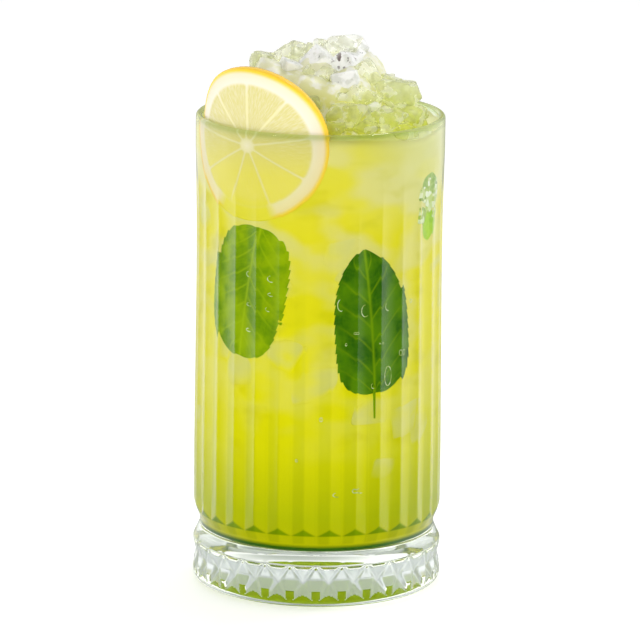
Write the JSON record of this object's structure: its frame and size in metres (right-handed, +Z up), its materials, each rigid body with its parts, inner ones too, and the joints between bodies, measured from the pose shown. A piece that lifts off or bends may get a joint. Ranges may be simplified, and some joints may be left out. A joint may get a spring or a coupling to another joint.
{
  "type": "mojito cocktail in a glass",
  "caption": "Mojito in a tall fluted glass with a star-cut foot: cloudy lime drink, crushed ice heaped over the rim, a bent lemon slice and mint leaves against the wall.",
  "frame": {"origin": "centre of the foot on the table, on the glass's axis", "axes": "+Z up along the glass's axis, the front with the lemon slice and the mint leaves faces -Y, +X to the right as seen from the front"},
  "size_m": [0.0792, 0.0792, 0.1768],
  "materials": {
    "clear_glass": "polished, clear with a faint green edge",
    "lime_drink": "cloudy liquid, wet",
    "crushed_ice": "wet, partly frosted",
    "lemon": "wet fruit with yellow peel and pale pith",
    "mint": "fresh leaf, soft sheen"
  },
  "bodies": {
    "root": {"glass": "clear_glass", "drink": "lime_drink", "ice_heap": "crushed_ice", "lemon_slice": "lemon", "mint_leaf_left": "mint", "mint_leaf_right": "mint"}
  },
  "joints": []
}
